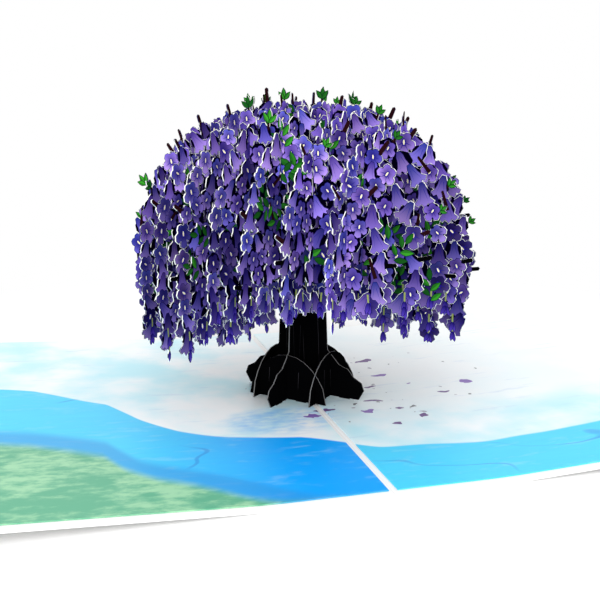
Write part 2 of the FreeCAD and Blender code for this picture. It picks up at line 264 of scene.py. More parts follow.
def paper_material(name, roughness, specular=0.35):
    """An empty paper material: its node tree and its Principled shader."""
    material = bpy.data.materials.new(name)
    material.use_nodes = True
    shader = material.node_tree.nodes["Principled BSDF"]
    shader.inputs["Roughness"].default_value = roughness
    shader.inputs["Specular IOR Level"].default_value = specular
    return material, material.node_tree, shader


def plain_material(name, colour, roughness):
    material, _, shader = paper_material(name, roughness)
    shader.inputs["Base Color"].default_value = (*colour, 1.0)
    return material


def print_material(name, attribute):
    """Paper that takes its colours from the print laid out on the mesh."""
    material, tree, shader = paper_material(name, 0.8, 0.0)
    printed = add_node(tree, "ShaderNodeAttribute", {"attribute_name": attribute})
    tree.links.new(printed.socket, shader.inputs["Base Color"])
    return material


# Flat shapes, in millimetres

def mixed(first, second, share):
    share = min(max(share, 0.0), 1.0)
    return tuple(a + (b - a) * share for a, b in zip(first, second))


def sides(points):
    """The sides of a closed shape, each as its two ends."""
    return zip(points, points[1:] + points[:1])


def area(points):
    return sum(a[0] * b[1] - b[0] * a[1] for a, b in sides(points)) / 2


def placed(points, at, turn=0.0, scale=1.0):
    """Points turned, scaled and moved to a place."""
    cosine, sine = scale * math.cos(turn), scale * math.sin(turn)
    return [(at[0] + x * cosine - y * sine, at[1] + x * sine + y * cosine) for x, y in points]


def grown(points, distance):
    """A closed shape with every corner pushed out."""
    sign = 1.0 if area(points) > 0 else -1.0
    pushed = []
    for before, here, after in zip(points[-1:] + points[:-1], points, points[1:] + points[:1]):
        across, up = after[0] - before[0], after[1] - before[1]
        length = math.hypot(across, up) or 1.0
        pushed.append((here[0] + sign * distance * up / length, here[1] - sign * distance * across / length))
    return pushed


def oval(width, height, count, turn=0.0):
    """An ellipse of that many corners, about the origin."""
    angles = [2 * math.pi * number / count + turn for number in range(count)]
    return [(width / 2 * math.cos(angle), height / 2 * math.sin(angle)) for angle in angles]


def distance_to(point, start, end):
    """Distance from a point to the straight line between two others."""
    across, up = end[0] - start[0], end[1] - start[1]
    length = across * across + up * up
    share = 0.0 if length == 0 else ((point[0] - start[0]) * across + (point[1] - start[1]) * up) / length
    share = min(max(share, 0.0), 1.0)
    return math.hypot(point[0] - start[0] - share * across, point[1] - start[1] - share * up)


def inside(point, outline):
    found = False
    for (ax, ay), (bx, by) in sides(outline):
        if (ay > point[1]) != (by > point[1]) and point[0] < ax + (point[1] - ay) / (by - ay) * (bx - ax):
            found = not found
    return found


# A shape that covers more than its own area has leaked out of its edges, and isn't drawn

LEAK = 1.1
LEAK_SPARE = 0.05


class SheetPrint:
    """Shapes laid over one another on one sheet, from the lowest level to the highest."""

    def __init__(self):
        self.shapes = []
        self.cuts = []

    def lay(self, level, points, paint):
        """One shape: its corners, and its colour or a rule that gives the colour at a point."""
        if area(points) < 0:
            points = points[::-1]
        if not callable(paint):
            paint = solid(paint)
        points = [(across, min(up, CEILING)) for across, up in points]
        self.shapes.append((level, len(self.shapes), points, paint))

    def cut(self, points):
        """An opening through the paper, whatever is printed there."""
        self.cuts.append(points if area(points) > 0 else points[::-1])

    def cut_to_mesh(self):
        """Corners, triangles, the number of the shape on top in each, and the paint of each shape."""
        order = sorted(self.shapes, key=lambda shape: shape[:2])
        loops = [points for _, _, points, _ in order] + self.cuts
        corners, faces = [], []
        for points in loops:
            faces.append(list(range(len(corners), len(corners) + len(points))))
            corners.extend(points)
        places, _, triangles, _, _, owners = delaunay_2d_cdt(corners, [], faces, 0, 1e-4, True)
        covered = [0.0] * len(loops)
        for triangle, over in zip(triangles, owners):
            size = abs(area([places[corner] for corner in triangle]))
            for number in over:
                covered[number] += size
        sound = [total < LEAK * abs(area(points)) + LEAK_SPARE for total, points in zip(covered, loops)]
        kept, tops = [], []
        for triangle, over in zip(triangles, owners):
            top = max((number for number in over if sound[number]), default=-1)
            if 0 <= top < len(order):
                kept.append(triangle)
                tops.append(top)
        return places, kept, tops, [shape[3] for shape in order]


def solid(colour):
    return lambda across, up: colour


def fading(start, end, first, last):
    """A colour that runs from one place to another."""
    across, up = end[0] - start[0], end[1] - start[1]
    length = across * across + up * up

    def paint(x, y):
        return mixed(first, last, ((x - start[0]) * across + (y - start[1]) * up) / length)
    return paint


# What is printed on the tree

LOBES = ((52, 2.8), (128, 2.8), (204, 3.4), (270, 3.9), (336, 3.4))
LOBE_HALF = 21
LOBE_NOTCH = 2.0
PETAL_REACH = 3.4
BELL = (
    (0.5, 3.3), (1.15, 1.9), (1.3, 0.3), (1.9, -1.3), (2.9, -2.2), (1.9, -3.1), (1.0, -2.5), (0.0, -3.7),
    (-1.0, -2.5), (-1.9, -3.1), (-2.9, -2.2), (-1.9, -1.3), (-1.3, 0.3), (-1.15, 1.9), (-0.5, 3.3),
)
LEAF = ((0.0, 0.2), (0.6, 1.1), (0.95, 2.2), (0.65, 3.6), (0.0, 4.9), (-0.65, 3.6), (-0.95, 2.2), (-0.6, 1.1))
BUD = (
    (0.35, 0.0), (0.75, -1.2), (0.7, -2.9), (0.3, -3.7), (0.0, -4.3),
    (-0.3, -3.7), (-0.7, -2.9), (-0.75, -1.2), (-0.35, 0.0),
)
VEINS = (204, 243, 297, 336)


def lobed():
    """The five lobes of an open blossom: two small ones above and three long ones below."""
    points = []
    for (angle, reach), (after, _) in zip(LOBES, LOBES[1:] + ((LOBES[0][0] + 360, 0),)):
        for shift, share in ((-LOBE_HALF, 0.9), (0, 1.0), (LOBE_HALF, 0.9)):
            turn = math.radians(angle + shift)
            points.append((reach * share * math.cos(turn), reach * share * math.sin(turn)))
        notch = math.radians((angle + after) / 2)
        points.append((LOBE_NOTCH * math.cos(notch), LOBE_NOTCH * math.sin(notch)))
    return points


def petal_tones(look, draws, height):
    """Three petal colours of one blossom: inner, main and lit. Its height argument is a painted light level:
    blossoms low on the tree get painted shade, deeper and darker, and those high on it are lighter.
    """
    hue = draws.random()
    main = mixed(look.petal_violet, look.petal_blue, min(max(hue * 2.2 - 0.6, 0.0), 1.0))
    # Painted shade: a low painted light level mixes in more indigo.
    depth = min(draws.random() ** 1.3 * (1.25 - 0.6 * height), 0.95)
    main = mixed(main, look.petal_deep, depth)
    lit = mixed(main, look.petal_light, min(draws.uniform(0.3, 1.3), 1.0) * (1.0 - 0.75 * depth))
    inner = mixed(look.petal_deep, main, 0.25)
    # Painted shade and light: every colour is scaled darker at a low painted light level and brighter at a
    # high one, with a random spread.
    strength = min(0.34 + 0.66 * height, 1.05) * draws.uniform(0.65, 1.15)
    shares = (0.45 * strength, 0.85 * strength, 1.25 * strength)
    tones = zip(shares, (inner, main, lit))
    return tuple(tuple(min(part * share, 1.0) for part in tone) for share, tone in tones)


def lay_open_blossom(sheet, look, draws, at, height, level, plain):
    """A blossom seen from the front, with its throat and veins."""
    turn = draws.triangular(-1.3, 1.3, 0.0)
    scale = draws.uniform(0.8, 1.14)
    inner, main, lit = petal_tones(look, draws, height)
    outline = placed(lobed(), at, turn, scale)
    down = (math.sin(turn), -math.cos(turn))

    def paint(x, y):
        across, up = x - at[0], y - at[1]
        reach = math.hypot(across, up) / (PETAL_REACH * scale)
        lower = (across * down[0] + up * down[1]) / (PETAL_REACH * scale)
        return mixed(inner, mixed(main, lit, 0.55 + 0.6 * lower), reach * 1.15)
    if plain:
        sheet.lay(level, outline[::2], paint)
        return outline
    sheet.lay(level, grown(outline, INK_LINE), look.ink)
    sheet.lay(level, outline, paint)
    for angle in VEINS:
        root = math.radians(angle)
        tip = (2.5 * math.cos(root), 2.5 * math.sin(root))
        side = (-0.17 * math.sin(root), 0.17 * math.cos(root))
        start = (0.5 * math.cos(root), 0.5 * math.sin(root))
        vein = [(start[0] + side[0], start[1] + side[1]), (start[0] - side[0], start[1] - side[1]), tip]
        sheet.lay(level, placed(vein, at, turn, scale), mixed(look.petal_deep, main, 0.2))
    sheet.lay(level, placed(oval(1.3, 2.2, 7), at, turn, scale), look.petal_deep)
    sheet.lay(level, placed(oval(0.6, 1.55, 6), at, turn, scale), look.throat)
    return outline


def lay_bell(sheet, look, draws, at, height, level, plain):
    """A blossom seen from the side, hanging with its mouth down."""
    turn = draws.uniform(-0.75, 0.75)
    scale = draws.uniform(0.85, 1.1)
    inner, main, lit = petal_tones(look, draws, height)
    outline = placed(BELL, at, turn, scale)
    top = placed([(0.0, 2.6)], at, turn, scale)[0]
    mouth = placed([(0.0, -3.2)], at, turn, scale)[0]
    paint = fading(top, mouth, mixed(inner, main, 0.45), lit)
    if plain:
        sheet.lay(level, outline[::2], paint)
        return outline
    sheet.lay(level, grown(outline, INK_LINE), look.ink)
    sheet.lay(level, outline, paint)
    for across in (-0.75, 0.75):
        fold = [(across * 0.5, 1.6), (across * 0.5 + 0.16, 1.5), (across * 1.7, -2.3)]
        sheet.lay(level, placed(fold, at, turn, scale), mixed(look.petal_deep, main, 0.35))
    return outline


def lay_leaf(sheet, look, at, turn, scale, level):
    """One pointed leaf with a darker half. Its green changes with its place."""
    outline = placed(LEAF, at, turn, scale)
    green = mixed(look.leaf, look.leaf_dark, 0.5 + 0.5 * math.sin(9.0 * at[0] + 5.0 * at[1]))
    sheet.lay(level, grown(outline, LEAF_LINE), mixed(look.leaf_dark, look.shade, 0.75))
    sheet.lay(level, outline, green)
    sheet.lay(level, placed(LEAF[:5], at, turn, scale), mixed(green, look.leaf_dark, 0.6))


def lay_leaves(sheet, look, draws, at, level):
    """Three to five leaves along a short stem, the last one at its end."""
    count = draws.choice((3, 4, 5))
    along = draws.uniform(-1.9, 1.9)
    for number in range(count):
        root = placed([(0.0, 1.5 * (number - 1))], at, along)[0]
        side = 0.0 if number == count - 1 else (-1) ** number * draws.uniform(0.75, 1.0)
        lay_leaf(sheet, look, root, along + side, draws.uniform(0.75, 1.0), level)


def lay_buds(sheet, look, draws, at, count, level, scale):
    """Closed buds that hang in a bunch from one place."""
    dark = mixed(look.petal_deep, look.shade, 0.45)
    pale = mixed(look.petal_deep, look.petal_violet, 0.4)
    for number in range(count):
        turn = 0.42 * (number - (count - 1) / 2) + draws.uniform(-0.1, 0.1)
        size = scale * draws.uniform(0.85, 1.1)
        outline = placed(BUD, at, turn, size)
        tip = placed([(0.0, -4.0)], at, turn, size)[0]
        sheet.lay(level, grown(outline, BUD_LINE), look.ink)
        sheet.lay(level, outline, fading(at, tip, dark, pale))


def lay_branch(sheet, start, end, first_width, last_width, colour, level):
    """A twig that tapers, with a blunt round end."""
    across, up = end[0] - start[0], end[1] - start[1]
    length = math.hypot(across, up) or 1.0
    side = (-up / length, across / length)
    ahead = (across / length, up / length)
    ends = ((start, first_width), (end, last_width))
    left = [(place[0] + side[0] * width / 2, place[1] + side[1] * width / 2) for place, width in ends]
    right = [(place[0] - side[0] * width / 2, place[1] - side[1] * width / 2) for place, width in ends]
    cap = (end[0] + ahead[0] * last_width * 0.35, end[1] + ahead[1] * last_width * 0.35)
    sheet.lay(level, [right[0], right[1], cap, left[1], left[0]], colour)


MARGIN_LEVEL, SHADE_LEVEL, BRANCH_LEVEL, STEM_LEVEL, BLOOM_LEVEL, LEAF_LEVEL, BARK_LEVEL = range(7)


# The shape of a sheet, read off its CAD solid

def sheet_axes(node):
    """The directions along and square to a sheet, as seen from above."""
    turn = math.radians(FAMILY_TURN[node.split("_sheet_")[1][0]])
    return (math.cos(turn), math.sin(turn)), (-math.sin(turn), math.cos(turn))


def sheet_outline(node):
    """The outline of a sheet in millimetres along and up it, anticlockwise, and the sheet's offset."""
    along, square = sheet_axes(node)
    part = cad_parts[node]
    spots = []
    for vertex in part.data.vertices:
        place = part.matrix_world @ vertex.co
        spots.append((
            round((place.x * along[0] + place.y * along[1]) / MM, 3),
            round(place.z / MM, 3),
            (place.x * square[0] + place.y * square[1]) / MM,
        ))
    front = max(spot[2] for spot in spots)
    back = min(spot[2] for spot in spots)
    edges = set()
    for face in part.data.polygons:
        corners = [spots[index] for index in face.vertices]
        if min(corner[2] for corner in corners) < front - 0.01:
            continue
        keys = [corner[:2] for corner in corners]
        for start, end in zip(keys, keys[1:] + keys[:1]):
            if (end, start) in edges:
                edges.remove((end, start))
            else:
                edges.add((start, end))
    follow = dict(edges)
    loops = []
    while follow:
        start, here = follow.popitem()
        loop = [start]
        while here != start:
            loop.append(here)
            here = follow.pop(here)
        loops.append(loop)
    outline = max(loops, key=lambda loop: abs(area(loop)))
    return (outline if area(outline) > 0 else outline[::-1]), (front + back) / 2


def convex(before, here, after):
    return (here[0] - before[0]) * (after[1] - here[1]) - (here[1] - before[1]) * (after[0] - here[0]) > 0


def outline_slots(outline):
    """Slots as (left, right, closed end, open end), found by their two long upright sides."""
    found = []
    count = len(outline)
    for number in range(count):
        a, b, c, d = (outline[(number + step) % count] for step in range(4))
        upright = abs(a[0] - b[0]) < LEVEL_PLAY and abs(c[0] - d[0]) < LEVEL_PLAY
        closed = abs(b[1] - c[1]) < LEVEL_PLAY and SLOT_LEAST < abs(b[0] - c[0]) < SLOT_MOST
        if upright and closed and not convex(a, b, c):
            found.append((min(b[0], c[0]), max(b[0], c[0]), b[1], (a[1] + d[1]) / 2))
    return found


def twig_tips(outline):
    """Blunt twigs outside the rim, as (root, tip) pairs."""
    found = []
    count = len(outline)
    for number in range(count):
        a, b, c, d = (outline[(number + step) % count] for step in range(4))
        narrow = math.dist(b, c) < 1.3 and math.dist(a, b) > 1.2 and math.dist(c, d) > 1.2
        if narrow and convex(a, b, c) and convex(b, c, d) and b[1] > LOWEST_TWIG and math.dist(a, d) < 2.0:
            found.append((((a[0] + d[0]) / 2, (a[1] + d[1]) / 2), ((b[0] + c[0]) / 2, (b[1] + c[1]) / 2)))
    return found


def sprig_tips(outline):
    """Pointed leaf sprigs outside the rim, as (root, tip) pairs."""
    found = []
    count = len(outline)
    for number in range(count):
        a, b, c, d, e = (outline[(number + step) % count] for step in range(5))
        long_sides = math.dist(b, c) > 1.2 and math.dist(c, d) > 1.2
        pointed = convex(b, c, d) and long_sides and math.dist(b, d) < 3.6
        if pointed and c[1] > LOWEST_TWIG and math.dist(a, e) < 4.5:
            found.append((((a[0] + e[0]) / 2, (a[1] + e[1]) / 2), c))
    return found


def chain_tips(outline, base):
    """The lower ends of the hanging chains, as (middle, height of their shoulders)."""
    found = []
    count = len(outline)
    for number in range(count):
        a, b, c, d = (outline[(number + step) % count] for step in range(4))
        flat = abs(b[1] - c[1]) < LEVEL_PLAY and 1.2 < abs(b[0] - c[0]) < 3.0
        hanging = a[1] > b[1] + 1.0 and d[1] > b[1] + 1.0
        if flat and hanging and LOWEST_CHAIN < b[1] < base:
            found.append((((b[0] + c[0]) / 2, b[1]), min(a[1], d[1])))
    return found


# The sheets of the tree

ROUNDNESS = 2.25
INNER_SHELL = 0.66
SIDE_BAND = (46.0, 64.0)
CHAIN_REACH = 3.6
# Painted light level of the blossoms on the hanging chains: low, so they take painted shade.
CHAIN_PAINTED_LIGHT = 0.15
CLEAR_RIM = 1.6
SLOT_LEAST_LENGTH = 3.0


def wanted_places(draws, outline, spacing):
    """Places for blossoms: one row close inside the rim, and a loose grid over the whole sheet."""
    wanted = []
    tips = [tip for _, tip in sprig_tips(outline) + twig_tips(outline)]
    smooth_rim = [point for point in outline if not near_any(point, tips, CLEAR_RIM)]
    for start, end in sides(smooth_rim):
        length = math.dist(start, end)
        upright = abs(start[0] - end[0]) < LEVEL_PLAY and length > SLOT_LEAST_LENGTH
        if length < 0.6 or upright:
            continue
        steps = max(1, round(length / 1.5))
        inward = ((start[1] - end[1]) / length, (end[0] - start[0]) / length)
        for step in range(steps):
            share = (step + 0.5) / steps
            place = (start[0] + (end[0] - start[0]) * share, start[1] + (end[1] - start[1]) * share)
            depth = draws.uniform(1.7, 3.6)
            wanted.append((place[0] + depth * inward[0], place[1] + depth * inward[1]))
    row_height = spacing * math.sqrt(3) / 2
    for row in range(int(120 / row_height)):
        for column in range(-int(60 / spacing), int(60 / spacing) + 1):
            across = (column + 0.5 * (row % 2)) * spacing + draws.uniform(-0.7, 0.7)
            wanted.append((across, row * row_height + draws.uniform(-0.7, 0.7)))
    return wanted


def chosen_places(look, draws, outline, offset, lowest, chains):
    """The wanted places that lie on the sheet, clear of the trunk, of the chains and of one another."""
    base = look.canopy_base / MM
    spacing = look.blossom_spacing / MM
    chain_ends = [(tip[0], (tip[1] + shoulder) / 2) for tip, shoulder in chains]
    taken = []
    for place in wanted_places(draws, outline, spacing):
        if place[1] < lowest or not inside(place, outline) or rim_distance(place, outline) < CLEAR_RIM:
            continue
        if abs(offset) < 1.0 and abs(place[0]) < 10.8 and place[1] < base + 3.0:
            continue
        if any(abs(place[0] - end[0]) < CHAIN_REACH and place[1] < end[1] + 1.2 for end in chain_ends):
            continue
        if not near_any(place, taken, spacing * 0.74):
            taken.append(place)
    return sorted(taken, key=lambda spot: -spot[1])


def painted_light_at(place, offset):
    """Painted light on the blossoms: painted shade low on the tree, lighter towards the top, in patches that
    differ from sheet to sheet.
    """
    height = min(max((place[1] - 24) / 70, 0.0), 1.0)
    patch = 0.42 * math.sin(0.16 * place[0] + offset) * math.sin(0.13 * place[1] + offset)
    return min(max(height + patch, 0.0), 1.2)


def lay_canopy(sheet, look, draws, outline, offset, lowest):
    """Blossom, leaves and twigs over the canopy part of a sheet, above a height."""
    base = look.canopy_base / MM
    radius = look.canopy_radius / MM
    waist = look.canopy_waist / MM
    rise = look.canopy_rise / MM
    spacing = look.blossom_spacing / MM
    margin = look.margin / MM
    chains = chain_tips(outline, base + 5.0)
    for place in chosen_places(look, draws, outline, offset, lowest, chains):
        far = math.hypot(place[0], offset) / radius
        up = max((place[1] - waist) / rise, 0.0)
        shell = (far ** ROUNDNESS + up ** ROUNDNESS) ** (1 / ROUNDNESS)
        hidden = shell < INNER_SHELL and place[1] > base + 6
        edge = rim_distance(place, outline)
        if not hidden and edge > 4.5 and draws.random() < 0.09:
            continue
        reach = spacing * draws.uniform(0.54, 0.62) * (0.74 if edge < 3.4 else 1.0)
        blob = placed(oval(2 * reach, 2 * reach, 8, draws.random()), place)
        sheet.lay(SHADE_LEVEL, blob, look.shade)
        lay_blossom = lay_open_blossom if draws.random() < 0.56 else lay_bell
        # The blossom's colours take the painted light level of its place.
        outer = lay_blossom(sheet, look, draws, place, painted_light_at(place, offset), BLOOM_LEVEL, hidden)
        if edge < 4.5:
            sheet.lay(MARGIN_LEVEL, grown(outer, INK_LINE + margin), look.cut_edge)
        extra = draws.random()
        if edge > 3.0 and extra < 0.12:
            lay_leaves(sheet, look, draws, place, LEAF_LEVEL)
        elif extra > 0.975:
            angle = draws.uniform(0.4, 2.7)
            tip = (place[0] + 6.0 * math.cos(angle), place[1] + 6.0 * math.sin(angle))
            lay_branch(sheet, place, tip, 1.3, 0.8, look.branch, BLOOM_LEVEL)

    for root, tip in twig_tips(outline):
        inner = (root[0] * 0.94, base + (root[1] - base) * 0.94)
        lay_branch(sheet, inner, tip, 1.7, 1.15, look.branch, STEM_LEVEL)
    for root, tip in sprig_tips(outline):
        lay_sprig(sheet, look, draws, root, tip)
    for side in (-1, 1):
        up = draws.uniform(*SIDE_BAND)
        reach = rim_reach(outline, up, side)
        if draws.random() < 0.6 and reach > 12.0:
            stub = (side * (reach + 2.8), up + draws.uniform(-0.5, 1.5))
            lay_branch(sheet, (side * (reach - 6.0), up - 1.0), stub, 1.5, 1.2, look.bark, STEM_LEVEL)
    for tip, shoulder in chains:
        lay_chain(sheet, look, draws, tip, shoulder, margin)


def rim_reach(outline, up, side):
    """How far the outline reaches to one side at a height."""
    reach = 0.0
    for start, end in sides(outline):
        if (start[1] - up) * (end[1] - up) < 0:
            across = start[0] + (end[0] - start[0]) * (up - start[1]) / (end[1] - start[1])
            reach = max(reach, side * across)
    return reach


def near_any(place, others, reach):
    return any(abs(place[0] - other[0]) < reach and math.dist(place, other) < reach for other in others)


def rim_distance(point, outline):
    """Distance to the outline, leaving out the upright sides and the closed ends of slots."""
    nearest = math.inf
    for a, b in sides(outline):
        slot_side = abs(a[0] - b[0]) < LEVEL_PLAY and abs(a[1] - b[1]) > SLOT_LEAST_LENGTH
        slot_end = abs(a[0] - b[0]) < SLOT_MOST and abs(a[1] - b[1]) < LEVEL_PLAY
        if not slot_side and not slot_end:
            nearest = min(nearest, distance_to(point, a, b))
    return nearest


def lay_sprig(sheet, look, draws, root, tip):
    """A sprig of leaves that stands out of the rim, its longest leaf at the tip."""
    turn = math.atan2(tip[1] - root[1], tip[0] - root[0]) - math.pi / 2
    length = math.dist(root, tip)
    back = (root[0] - (tip[0] - root[0]) * 0.5, root[1] - (tip[1] - root[1]) * 0.5)
    lay_branch(sheet, back, tip, 0.9, 0.3, look.branch, STEM_LEVEL)
    lay_leaf(sheet, look, root, turn, length / 4.95, STEM_LEVEL)
    for side in (-1, 1):
        spread = side * draws.uniform(0.55, 0.85)
        lay_leaf(sheet, look, root, turn + spread, length / 5.6, STEM_LEVEL)


def lay_chain(sheet, look, draws, tip, shoulder, margin):
    """The lower part of a hanging chain: a stem, a blossom beside it and two bunches of buds."""
    drop = draws.choice((0.0, 0.6, 1.4, 3.0))
    stem_top = (tip[0] + draws.uniform(-0.6, 0.6), shoulder + 4.5)
    bud_root = (tip[0], tip[1] + 3.4 - drop)
    side = draws.choice((-1, 1))
    spot = (tip[0] + side * draws.uniform(1.3, 1.9), shoulder + draws.uniform(0.8, 2.2))
    outer = lay_bell(sheet, look, draws, spot, CHAIN_PAINTED_LIGHT, BLOOM_LEVEL, False)
    sheet.lay(MARGIN_LEVEL, grown(outer, INK_LINE + margin), look.cut_edge)
    lay_branch(sheet, stem_top, (bud_root[0], bud_root[1] - 0.4), 0.6, 0.5, look.stem, BLOOM_LEVEL)
    lay_buds(sheet, look, draws, (tip[0], shoulder + 1.6), 2, BLOOM_LEVEL, 0.78)
    lay_buds(sheet, look, draws, bud_root, draws.choice((1, 2, 2, 3)), BLOOM_LEVEL, 0.82)


def flush(outline):
    """The outline with the undercut at the ends of the roots brought down to their feet."""
    feet = min(up for _, up in outline if up > PASTED_TOP)
    return [(across, feet if PASTED_TOP < up < feet + FOOT_UNDERCUT else up) for across, up in outline]


def lay_bark(sheet, look, outline, top):
    """The black of the trunk, up to a height, and of its roots."""
    points = []
    for across, up in flush(outline):
        if up < ROOT_TOP or (abs(across) < NECK_HALF and up < top):
            points.append((across, up))
    sheet.lay(BARK_LEVEL, points, look.bark)


LIMBS = ((-6.0, (-30.0, 62.0)), (-2.5, (-12.0, 78.0)), (2.5, (10.0, 79.0)), (6.0, (31.0, 64.0)))


def trunk_limbs(sheet, look):
    """Limbs that fork from the trunk up into the blossom."""
    for across, tip in LIMBS:
        middle = (across * 1.6 + tip[0] * 0.25, 50.0)
        lay_branch(sheet, (across, 36.0), middle, 6.0, 3.6, look.bark, BRANCH_LEVEL)
        lay_branch(sheet, middle, tip, 3.4, 1.2, look.bark, BRANCH_LEVEL)


def bark_lines(sheet, look, draws, left, right, low, high, count):
    """Thin grey lines that run up the bark."""
    for number in range(count):
        across = left + (right - left) * (number + draws.uniform(0.2, 0.8)) / count
        start = low + (high - low) * draws.uniform(0.0, 0.35)
        end = low + (high - low) * draws.uniform(0.55, 1.0)
        lean = draws.uniform(-0.06, 0.06) * (end - start)
        lay_branch(sheet, (across, start), (across + lean, end), 0.05, 0.22, look.bark_line, BARK_LEVEL)


def cut_slots(sheet, outline):
    """Every slot of the solid, opened right through the blossoms at its mouth."""
    for left, right, closed, mouth in outline_slots(outline):
        reach = mouth + (7.0 if mouth > closed else -7.0)
        sheet.cut([(left, closed), (right, closed), (right, reach), (left, reach)])


PRINT_PLACE, CORE_PLACE, BARK_CORE_PLACE = range(3)


def grey_bark_edges(mesh, underside):
    """The cut edges of the trunk and the roots take the grey core."""
    for face in mesh.polygons:
        if face.material_index == CORE_PLACE and face.center.z < underside:
            beside_trunk = math.hypot(face.center.x, face.center.y) < TRUNK_REACH * MM
            if beside_trunk or face.center.z < ROOT_TOP * MM:
                face.material_index = BARK_CORE_PLACE


def build_sheet(context, node, slot, sheet, offset):
    """Cuts a printed sheet out, gives it its thickness and stands it in the place of its solid."""
    look = context.scene.tree_settings
    along, square = sheet_axes(node)
    places, triangles, tops, paints = sheet.cut_to_mesh()
    bpy.ops.object.select_all(action="DESELECT")
    bpy.ops.object.add(type="MESH", location=(0, 0, 0))
    piece = context.object
    piece.name = "printed_" + node
    mesh = piece.data
    mesh.name = piece.name
    mesh.from_pydata([(across, up, 0.0) for across, up in places], [], triangles)
    mesh.polygons.foreach_set("material_index", tops)
    bpy.ops.object.mode_set(mode="EDIT")
    bpy.ops.mesh.select_all(action="SELECT")
    bpy.ops.mesh.delete_loose()
    bpy.ops.mesh.select_all(action="SELECT")
    bpy.ops.mesh.dissolve_limited(angle_limit=math.radians(0.5), delimit={"MATERIAL"})
    bpy.ops.mesh.select_all(action="SELECT")
    bpy.ops.mesh.quads_convert_to_tris(quad_method="BEAUTY", ngon_method="BEAUTY")
    bpy.ops.object.mode_set(mode="OBJECT")
    printed = mesh.color_attributes.new("print", "FLOAT_COLOR", "CORNER")
    flat = []
    for face in mesh.polygons:
        paint = paints[face.material_index]
        for corner in face.vertices:
            place = mesh.vertices[corner].co
            flat.extend((*paint(place.x, place.y), 1.0))
    printed.data.foreach_set("color", flat)
    mesh.polygons.foreach_set("material_index", [PRINT_PLACE] * len(mesh.polygons))
    mesh.materials.append(bpy.data.materials[PAPERS[slot]])
    mesh.materials.append(bpy.data.materials["paper_core"])
    mesh.materials.append(bpy.data.materials["bark_core"])
    piece.matrix_world = Matrix((
        (along[0] * MM, 0.0, -square[0] * MM, offset * square[0] * MM),
        (along[1] * MM, 0.0, -square[1] * MM, offset * square[1] * MM),
        (0.0, MM, 0.0, 0.0),
        (0.0, 0.0, 0.0, 1.0),
    ))
    bpy.ops.object.transform_apply(location=True, rotation=True, scale=True)
    bpy.ops.object.modifier_add(type="SOLIDIFY")
    solidify = piece.modifiers[-1]
    solidify.thickness = look.stock
    solidify.offset = 0.0
    solidify.use_rim = True
    solidify.material_offset_rim = CORE_PLACE
    bpy.ops.object.modifier_apply(modifier=solidify.name)
    if slot != "blossom_print":
        grey_bark_edges(mesh, look.canopy_base)
    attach(piece, "root")
    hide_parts(node)
    return piece


def seeded(node):
    """The same draws for the same sheet each time."""
    return random.Random(sum(ord(letter) * (place + 3) for place, letter in enumerate(node)))


def core_material(name, white, edge_shade_colour):
    """The white core of the paper, with painted shade over the cut here and there."""
    material, tree, shader = paper_material(name, 0.7)
    spot = add_node(tree, "ShaderNodeTexCoord", None, 3)
    # Painted shade: random patches of the cut edges turn dark indigo, as if the light missed them.
    painted_edge_shade = noise(tree, spot, 0.0032, 1.0).smooth(0.46, 0.56)
    colour = painted_edge_shade.mixed(white, tuple(0.3 * part for part in edge_shade_colour))
    tree.links.new(colour.socket, shader.inputs["Base Color"])
    return material


class TreeMaterials(bpy.types.Operator):
    """Mix the printed papers of the tree"""
    bl_idname = "popup_card.tree_papers"
    bl_label = "Tree papers"

    def execute(self, context):
        look = context.scene.tree_settings
        for paper in PAPERS.values():
            print_material(paper, "print")
        # The paper core's painted shade is a dark indigo made from the deep petal colour.
        core_material("paper_core", look.cut_edge, look.petal_deep)
        plain_material("bark_core", look.bark_edge, 0.7)
        return {"FINISHED"}


class BlossomSheets(bpy.types.Operator):
    """Print and cut the twelve sheets that are only blossom"""
    bl_idname = "popup_card.blossom_sheets"
    bl_label = "Blossom sheets"

    def execute(self, context):
        look = context.scene.tree_settings
        for node in BLOSSOM_SHEETS:
            outline, offset = sheet_outline(node)
            sheet = SheetPrint()
            lay_canopy(sheet, look, seeded(node), outline, offset, 0.0)
            cut_slots(sheet, outline)
            build_sheet(context, node, "blossom_print", sheet, offset)
        return {"FINISHED"}


class TrunkSheets(bpy.types.Operator):
    """Print and cut the two middle sheets, each roots, trunk and blossom in one"""
    bl_idname = "popup_card.trunk_sheets"
    bl_label = "Trunk sheets"

    def execute(self, context):
        look = context.scene.tree_settings
        for node in TRUNK_SHEETS:
            outline, offset = sheet_outline(node)
            draws = seeded(node)
            sheet = SheetPrint()
            base = look.canopy_base / MM
            lay_canopy(sheet, look, draws, outline, offset, base - 17.0)
            trunk_limbs(sheet, look)
            lay_bark(sheet, look, outline, base + 3.0)
            bark_lines(sheet, look, draws, -7.5, 7.5, 4.0, 38.0, 4)
            cut_slots(sheet, outline)
            build_sheet(context, node, "trunk_print", sheet, offset)
        return {"FINISHED"}


class RootSheets(bpy.types.Operator):
    """Print and cut the four low root mounds"""
    bl_idname = "popup_card.root_sheets"
    bl_label = "Root mounds"

    def execute(self, context):
        look = context.scene.tree_settings
        for node in ROOT_SHEETS:
            outline, offset = sheet_outline(node)
            draws = seeded(node)
            sheet = SheetPrint()
            sheet.lay(BARK_LEVEL, flush(outline), look.bark)
            bark_lines(sheet, look, draws, -9.0, 9.0, 3.0, 12.0, 3)
            build_sheet(context, node, "root_print", sheet, offset)
        return {"FINISHED"}


# The card

def coordinates(tree):
    """Distance across and along the fold in millimetres, on the card."""
    spot = add_node(tree, "ShaderNodeTexCoord", None, 3)
    split = tree.nodes.new("ShaderNodeSeparateXYZ")
    tree.links.new(spot.socket, split.inputs[0])
    return spot, Wire(tree, split.outputs[0]) * (1 / MM), Wire(tree, split.outputs[1]) * (1 / MM)


